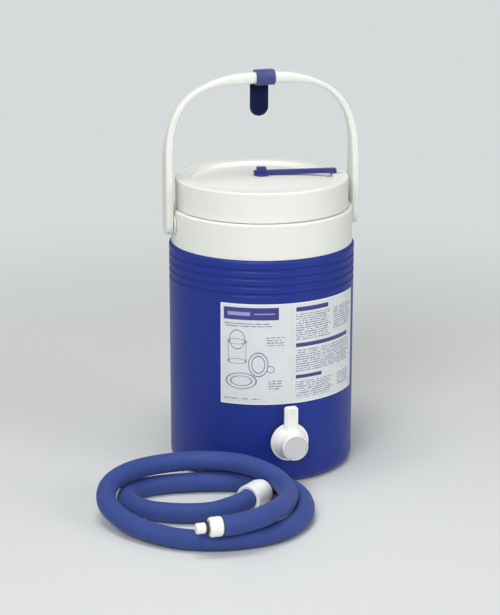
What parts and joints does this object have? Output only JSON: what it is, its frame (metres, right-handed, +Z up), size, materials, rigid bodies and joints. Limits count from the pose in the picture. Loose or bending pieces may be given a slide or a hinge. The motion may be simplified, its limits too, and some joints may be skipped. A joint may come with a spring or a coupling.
{
  "type": "hot cold therapy machine",
  "caption": "Gravity-fed hot and cold therapy cooler: insulated round jug with swinging carry handle, vented lid, quarter-turn outlet tap and a detached foam-covered hose.",
  "frame": {"origin": "the jug's axis on the floor", "axes": "+Z up along the jug's axis, -Y the side with the outlet tap and label, +X to the right along the handle's pivots"},
  "size_m": [0.3029, 0.3456, 0.3995],
  "materials": {
    "shell_blue": "satin",
    "foam": "matte",
    "liner_white": "satin",
    "collar_white": "satin",
    "label_print": "satin",
    "handle_white": "satin",
    "strap_webbing": "matte",
    "lid_white": "satin",
    "seal_rubber": "matte",
    "lever_blue": "satin",
    "pin_steel": "satin",
    "fitting_white": "satin",
    "stopper_white": "satin",
    "hose_blue": "matte"
  },
  "bodies": {
    "jug": {"outer_shell": "shell_blue", "foam_core": "foam", "inner_liner": "liner_white", "base_plug": "shell_blue", "collar": "collar_white", "trunnion_right": "collar_white", "trunnion_left": "collar_white", "front_label": "label_print", "outlet_body": "fitting_white", "outlet_gasket": "seal_rubber", "outlet_washer": "seal_rubber", "outlet_locknut": "fitting_white", "hose_tube": "hose_blue", "hose_sleeve": "fitting_white", "hose_coupler": "fitting_white", "coupler_nipple": "fitting_white", "coupler_ring": "seal_rubber"},
    "handle": {"handle": "handle_white", "handle_strap": "strap_webbing"},
    "lid_seal": {"lid_gasket": "seal_rubber"},
    "lid": {"lid_shell": "lid_white", "lid_foam": "foam", "lid_pan": "liner_white", "vent_pin": "pin_steel"},
    "vent_lever": {"vent_lever": "lever_blue", "vent_stopper": "seal_rubber"},
    "tap": {"outlet_tap": "fitting_white", "tap_ring": "seal_rubber"},
    "stopper": {"outlet_stopper": "stopper_white"},
    "strap_tab": {"strap_tab": "strap_webbing"}
  },
  "joints": [
    {"name": "handle_swing", "type": "hinge", "parent": "jug", "child": "handle", "pos_m": [0, 0, 0.25], "axis": [1, 0, 0], "range_deg": [-130, 130]},
    {"name": "tab_swing", "type": "hinge", "parent": "handle", "child": "strap_tab", "pos_m": [0, 0, 0.39205], "axis": [1, 0, 0], "range_deg": [-130, 130]},
    {"name": "lid_lift", "type": "slide", "parent": "jug", "child": "lid_seal", "axis": [0, 0, 1], "range_m": [0, 0.045]},
    {"name": "lid_turn", "type": "hinge", "parent": "lid_seal", "child": "lid", "pos_m": [0, 0, 0.29], "axis": [0, 0, 1], "range_deg": [0, 180]},
    {"name": "vent_lever_lift", "type": "hinge", "parent": "lid", "child": "vent_lever", "pos_m": [0.07287, -0.00959, 0.2918], "axis": [0.1305, 0.9914, 0], "range_deg": [0, 75]},
    {"name": "tap_turn", "type": "hinge", "parent": "jug", "child": "tap", "pos_m": [0, -0.1, 0.046], "axis": [0, 1, 0], "range_deg": [0, 90]},
    {"name": "stopper_pull", "type": "slide", "parent": "tap", "child": "stopper", "axis": [0, -1, 0], "range_m": [0, 0.013]}
  ],
  "couplings": [
    {"joint": "tab_swing", "follows": "handle_swing", "ratio": -1}
  ]
}
